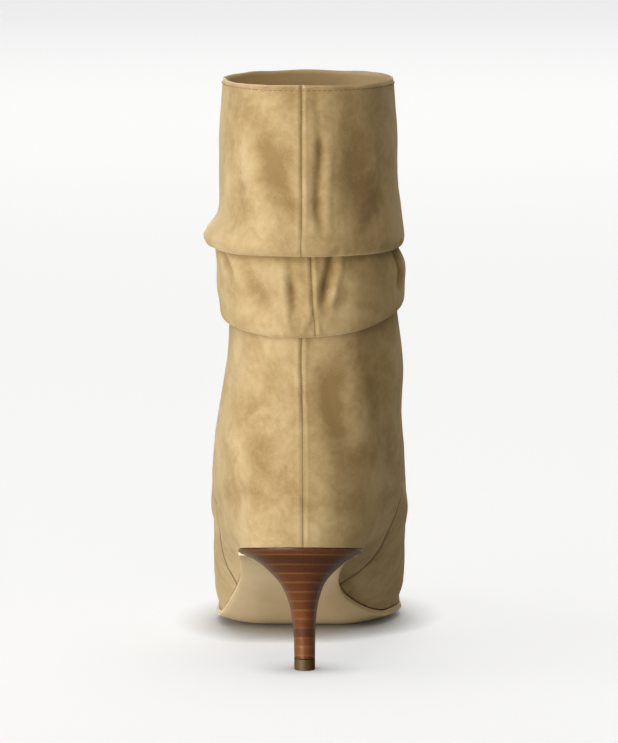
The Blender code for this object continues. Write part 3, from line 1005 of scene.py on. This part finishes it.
def turn_at(y):
    """How far the outline has turned at this y."""
    return math.acos(1 - 2 * (y - HEEL_END) / SOLE_LENGTH)


def y_at(turn):
    """The y at which the outline has turned this far."""
    return HEEL_END + SOLE_LENGTH * (1 - math.cos(turn)) / 2


def sole_point(turn, across):
    """A point on the last's underside; across runs from -1 at the lateral edge to 1 at the medial one."""
    y = y_at(turn)
    lateral = half_width("lateral", turn)
    medial = half_width("medial", turn)
    left = -max(lateral, NARROWEST)
    right = max(medial, NARROWEST)
    x = left + (right - left) * (across + 1) / 2
    reach = abs((2 * x + lateral - medial) / (lateral + medial + 2 * NARROWEST))
    reach = max(reach, 1 - (TOE_END - y) / TIP_ROLL)
    outside = max(0.0, reach - FLAT_SHARE) / (1 - FLAT_SHARE)
    return Vector((x + toe_turn(y), y, last_height(y) + crown(y) * outside ** 2))


def build_sole(start, end):
    """The sole's upper face from one y to another, a flat grid bent to the last."""
    shape = start_grid(SOLE_COLUMNS, SOLE_ROWS)
    first, final = turn_at(start), turn_at(end)
    for vert in shape.verts:
        vert.co = sole_point(first + (final - first) * (vert.co.y + 0.5), 2 * vert.co.x) * MM
    return finish_mesh(shape, "leather_outsole")


def round_edges(piece, name, width):
    """Bevel the edges that are sharper than the limit."""
    rounding = piece.modifiers.new(name, "BEVEL")
    rounding.width = width * MM
    rounding.segments = EDGE_SEGMENTS
    rounding.limit_method = "ANGLE"
    rounding.angle_limit = EDGE_ANGLE


SOLE_TONES = ((0.15, (0.70, 0.555, 0.345)), (0.85, (0.82, 0.67, 0.44)))
sole_leather = make_smooth(
    "sole_leather", 0.42, (28.0, 1.2), (1500.0, 0.6, 0.04), SOLE_TONES, Coat_Weight=0.12, Coat_Roughness=0.3
)
sole_mesh = build_sole(BREAST + GAP, TOE_END - TIP_CUT)
outsole = add_piece("leather_outsole", sole_mesh, [sole_leather], node="outsole")
add_wall(outsole, OUTSOLE_THICK, -1)
round_edges(outsole, "trimmed_edge", SOLE_EDGE)
print("outsole faces:", len(sole_mesh.polygons))

# %% [markdown]
# The kitten heel is stacked: discs of leather glued one on another, turned to a wine-glass shape and
# polished. It starts as the seat's outline, and each level of the stack is the same outline drawn
# narrower. The layers show as thin pale lines between bands of slightly different brown.

# %% Heel
HeelLevel = namedtuple("HeelLevel", "height lateral medial back breast")
TIP_TOP = 4.9
HEEL_FOOT = TIP_TOP + GAP
HEEL_LEVELS = [HeelLevel(*row) for row in (
    (50.9, 29.0, 24.0, -20.6, 27.4),
    (47.6, 22.8, 18.6, -18.6, 23.0),
    (44.8, 18.9, 15.2, -16.8, 19.0),
    (41.0, 14.6, 11.2, -14.6, 14.6),
    (37.4, 11.3, 8.6, -12.8, 11.6),
    (33.0, 8.8, 6.9, -10.9, 9.2),
    (28.0, 7.0, 5.6, -9.1, 7.4),
    (21.0, 5.6, 4.8, -7.4, 6.2),
    (13.0, 4.9, 4.5, -6.3, 5.5),
    (HEEL_FOOT, 4.7, 4.4, -5.8, 5.2),
)]
SEAT = HeelLevel(last_height(0.0), 29.6, 24.9, HEEL_END, BREAST)
FLANGE = 1.1
HEEL_ARC = 30
HEEL_BREAST = 16
HEEL_ROWS = 64
HEEL_CROWDING = 1.25
CORNER = 0.06
SHARP_FROM = math.radians(42)
LOOP_WELD = 1e-7
HEEL_RED = (0.105, 0.034, 0.012)
HEEL_TAWNY = (0.168, 0.060, 0.014)
LAYER_LINE = (0.36, 0.19, 0.08)
# each pair says how a value is turned into a tone: times the first, plus the second
TAWNY_BELOW = (-26.0, 1.15)
FIBRE_TONES = (0.5, 0.72)
LAYER_TONES = (0.55, 0.72)
LINE_WEAR = (0.30, 0.12)
LINE_HEIGHT, STACK_DEPTH = -0.5, 0.05
# the stack: a layer's height and how much it wanders in millimetres, its tilt, how thin its lines are
LAYER, LAYER_WANDER, LAYER_TILT, LINE_THIN = 4.0, 0.6, 0.16, 6.0
seat_low = SEAT.height - FLANGE
level_table = [(level.height, *level) for level in sorted((SEAT._replace(height=seat_low), *HEEL_LEVELS))]


def seat_outline():
    """The seat's outline as shares: sideways from -1 to 1, and along from 0 at the back to 1."""
    turns = [turn_at(BREAST) * i / HEEL_ARC for i in range(HEEL_ARC + 1)]
    arcs = []
    for side, sign in (("lateral", -1), ("medial", 1)):
        widest = max(half_width(side, turn) for turn in turns)
        arc = [
            (sign * half_width(side, turn) / widest, (y_at(turn) - HEEL_END) / (BREAST - HEEL_END))
            for turn in turns
        ]
        arc[-1] = (arc[-1][0], arc[-1][1] * (1 - CORNER))
        arcs.append(arc)
    left, right = arcs
    span = right[-1][0] - left[-1][0]
    front = [(left[-1][0] + span * (k + 0.5) / HEEL_BREAST, 1.0) for k in range(HEEL_BREAST)]
    return left + front + right[:0:-1]


def level_loop(level, height_at):
    """The seat's outline drawn at one level of the stack."""
    loop = []
    for sideways, along in seat_outline():
        half = level.lateral if sideways < 0 else level.medial
        y = level.back + (level.breast - level.back) * along
        loop.append(Vector((sideways * half, y, height_at(y))) * MM)
    return loop


def build_turned(name, loops):
    """Loft closed loops from top to bottom: a grid, welded to a tube at the back and closed at its ends."""
    columns, rows = len(loops[0]), len(loops) - 1
    shape = start_grid(columns, rows)
    for vert in shape.verts:
        row = round((vert.co.y + 0.5) * rows)
        vert.co = loops[row][round((vert.co.x + 0.5) * columns) % columns]
    bmesh.ops.remove_doubles(shape, verts=list(shape.verts), dist=LOOP_WELD)
    bmesh.ops.holes_fill(shape, edges=[edge for edge in shape.edges if edge.is_boundary], sides=0)
    bmesh.ops.recalc_face_normals(shape, faces=list(shape.faces))
    mesh = finish_mesh(shape, name)
    mesh.set_sharp_from_angle(angle=SHARP_FROM)
    return mesh


def heel_level(height):
    """The heel's level at a height, read smoothly from its table."""
    return HeelLevel(*(smooth(level_table, column, height) for column in range(1, 6)))


def heel_loop_at(level):
    """A level's loop: the seat's slope fades out towards the floor."""
    fade = ((level.height - HEEL_FOOT) / (SEAT.height - HEEL_FOOT)) ** 2
    return level_loop(level, lambda y: level.height + SEAT_SLOPE * fade * y)


def stack_lines(tree):
    """Masks of the stack: thin lines between layers, a random value for each layer, and the height."""
    place = tree.nodes.new("ShaderNodeTexCoord").outputs["Object"]
    apart = tree.nodes.new("ShaderNodeSeparateXYZ")
    tree.links.new(place, apart.inputs[0])
    bent = maths(tree, "MULTIPLY_ADD", apart.outputs["Y"], LAYER_TILT, apart.outputs["Z"])
    wander = add_node(tree, "ShaderNodeTexNoise", Scale=60.0)
    tree.links.new(place, wander.inputs["Vector"])
    bent = maths(tree, "MULTIPLY_ADD", wander.outputs["Fac"], LAYER_WANDER * MM, bent)
    layer = maths(tree, "DIVIDE", bent, LAYER * MM)
    near = maths(tree, "ABSOLUTE", maths(tree, "SUBTRACT", maths(tree, "FRACT", layer), 0.5))
    line = maths(tree, "SUBTRACT", 1.0, maths(tree, "MULTIPLY", near, LINE_THIN), clamp=True)
    dice = tree.nodes.new("ShaderNodeTexWhiteNoise")
    dice.noise_dimensions = "1D"
    tree.links.new(maths(tree, "FLOOR", maths(tree, "ADD", layer, 0.5)), dice.inputs["W"])
    return line, dice.outputs["Value"], apart.outputs["Z"]


def make_stacked_leather():
    """Polished stacked leather: reddish at the top, tawny lower down, a pale line between layers."""
    material, tree, shader = start_material("stacked_leather", 0.34, Coat_Weight=0.45, Coat_Roughness=0.16)
    line, dice, height = stack_lines(tree)
    grain = use_group(tree, grain_group, Scale=700.0, Softness=0.9)
    low = maths(tree, "MULTIPLY_ADD", height, *TAWNY_BELOW, clamp=True)
    mixed = mix_colours(tree, low, HEEL_RED, HEEL_TAWNY)
    fibres = maths(tree, "MULTIPLY_ADD", grain, *FIBRE_TONES)
    shade = maths(tree, "MULTIPLY", maths(tree, "MULTIPLY_ADD", dice, *LAYER_TONES), fibres)
    toned = mix_colours(tree, 1.0, mixed, shade, blend="MULTIPLY")
    worn = maths(tree, "MULTIPLY", line, maths(tree, "MULTIPLY_ADD", dice, *LINE_WEAR))
    tree.links.new(mix_colours(tree, worn, toned, LAYER_LINE), shader.inputs["Base Color"])
    bump_from(tree, shader, maths(tree, "MULTIPLY_ADD", line, LINE_HEIGHT, grain), STACK_DEPTH)
    return material


drop = seat_low - HEEL_FOOT
heights = [seat_low - drop * (k / HEEL_ROWS) ** HEEL_CROWDING for k in range(1, HEEL_ROWS + 1)]
heel_loops = [level_loop(SEAT, last_height), heel_loop_at(SEAT._replace(height=seat_low))]
heel_loops += [heel_loop_at(heel_level(height)) for height in heights]
heel_mesh = build_turned("stacked_heel", heel_loops)
add_piece("stacked_heel", heel_mesh, [make_stacked_leather()], node="heel")
print("heel faces:", len(heel_mesh.polygons))

# %% [markdown]
# The heel tip, or top lift, is the hard wearing piece nailed under the heel. It repeats the heel's lowest
# outline and has slightly rounded edges, because it is moulded and then worn. A dark hairline parts it
# from the stack.

# %% Heel tip
TIP_EDGE = 0.35
TIP_TONES = ((0.2, (0.078, 0.044, 0.010)), (0.8, (0.138, 0.080, 0.022)))
tip_rubber = make_smooth("tip_rubber", 0.5, (120.0, 1.0), (2200.0, 0.7, 0.05), TIP_TONES)
foot_level = HEEL_LEVELS[-1]
tip_mesh = build_turned(
    "heel_tip", [level_loop(foot_level, lambda y: TIP_TOP), level_loop(foot_level, lambda y: 0.0)]
)
tip = add_piece("moulded_tip", tip_mesh, [tip_rubber], node="heel_tip")
round_edges(tip, "moulded_edge", TIP_EDGE)
print("tip faces:", len(tip_mesh.polygons))

# %% [markdown]
# Stitches are single loops of thread that stand a little proud of the leather. Each is a small ball
# stretched like a grain of rice. They run all round below the collar's edge, and in two short rows across
# the back seam, where it is tacked under the collar and under the lower fold.

# %% Stitches
STITCH_LONG = 1.9
STITCH_THICK = 0.5
STITCH_STEP = 2.4
STITCH_BELOW_COLLAR = 2.1
STITCH_PROUD = 0.08
COLLAR_SAMPLES = 720
TACK_STEP = 1.5
TACK_PROUD = 0.12
TACK_LEAN = 0.5
SEAM_SEARCH = 0.6
HALVINGS = 24
TACKED = (
    (run_of_ring[-1] - 17.0, run_of_ring[-1] - 8.0),
    (run_of_ring[7] - 17.0, run_of_ring[7] - 6.0),
)
THREAD = (0.34, 0.23, 0.11)
THREAD_SHADE = 0.7
# how far apart the points lie that give the skin's direction: round the boot, and up in millimetres
ROUND_STEP, UP_STEP = 0.02, 0.5


def stitch_at(shape, place, along, up):
    """One stitch: a small ball stretched along its thread and set half into the leather."""
    side = along.cross(up).normalized()
    turned = Matrix((along, side, along.cross(side))).transposed().to_4x4()
    stretch = Matrix.Diagonal((STITCH_LONG / 2, STITCH_THICK / 2, STITCH_THICK / 2, 1.0))
    bmesh.ops.create_icosphere(
        shape, subdivisions=1, radius=MM, matrix=Matrix.Translation(place * MM) @ turned @ stretch
    )


def skin_point(run, turn, proud):
    """A point this far above the skin, with its creases and seams, and the outward direction there."""
    side = "lateral" if turn < 0 else "medial"
    here = ring_point(ring_at(run), side, abs(turn))
    round_it = ring_point(ring_at(run), side, abs(turn) + ROUND_STEP) - here
    up_it = ring_point(ring_at(run + UP_STEP), side, abs(turn)) - here
    outward = round_it.cross(up_it).normalized() * (-1 if turn < 0 else 1)
    return here + outward * (leather_relief(run, turn, here)[0] + proud), outward


def collar_stitches(shape):
    """A row of stitches all round, a little below the folded edge."""
    run = run_of_ring[-1] - STITCH_BELOW_COLLAR
    collar = ring_at(run)
    turns = [math.pi * (2 * k / COLLAR_SAMPLES - 1) for k in range(COLLAR_SAMPLES + 1)]
    places = [ring_point(collar, "lateral" if turn < 0 else "medial", abs(turn)) for turn in turns]
    since, count = 0.0, 0
    for before, here, turn in zip(places, places[1:], turns[1:]):
        since += (here - before).length
        if since >= STITCH_STEP:
            since -= STITCH_STEP
            place, outward = skin_point(run, turn, STITCH_PROUD)
            stitch_at(shape, place, (here - before).normalized(), outward)
            count += 1
    return count


def seam_turn(run):
    """The angle at which the ring crosses the back seam's line, found by halving."""
    aim = smooth(back_seam_table, 1, run)
    low, high = -SEAM_SEARCH, SEAM_SEARCH
    for _ in range(HALVINGS):
        middle = (low + high) / 2
        if ring_point(ring_at(run), "lateral" if middle < 0 else "medial", abs(middle)).x < aim:
            low = middle
        else:
            high = middle
    return (low + high) / 2


def seam_tacks(shape):
    """Short stitches across the back seam, where it is tacked under the collar and under the lower fold."""
    count = 0
    for start, end in TACKED:
        run = start
        while run < end:
            place, outward = skin_point(run, seam_turn(run), TACK_PROUD)
            across = Vector((1.0, 0.0, TACK_LEAN if count % 2 else -TACK_LEAN)).normalized()
            along = (across - outward * across.dot(outward)).normalized()
            stitch_at(shape, place, along, outward)
            run += TACK_STEP
            count += 1
    return count


def build_stitches():
    """All the stitches as one mesh."""
    shape = bmesh.new()
    print("stitches:", collar_stitches(shape) + seam_tacks(shape))
    bmesh.ops.recalc_face_normals(shape, faces=list(shape.faces))
    return finish_mesh(shape, "collar_stitches")


def make_thread():
    """Matt thread whose twist shows as small darker spots."""
    material, tree, shader = start_material("sand_thread", 0.8)
    twist = use_group(tree, grain_group, Scale=3000.0, Softness=0.9)
    colour = ramp_between(tree, twist, ((0.3, tuple(THREAD_SHADE * c for c in THREAD)), (0.7, THREAD)))
    tree.links.new(colour, shader.inputs["Base Color"])
    return material


add_piece("collar_stitches", build_stitches(), [make_thread()])

# %% [markdown]
# The insole keeps its imported shape, since little of it shows down inside the boot. It gets the smooth tan
# leather of a sock lining. At the end the sizes of the imported box and of the dressed one are printed.

# %% Insole and sizes
sock = make_lining("sock_leather", 800.0, (0.50, 0.36, 0.22), (0.60, 0.45, 0.29))
insole_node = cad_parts["insole"]
for place in insole_node.material_slots:
    place.material = sock
new_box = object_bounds()
for name, box in (("packed", cad_box), ("dressed", new_box)):
    print(name, "box in mm:", [[round(c * 1000, 1) for c in corner] for corner in box])
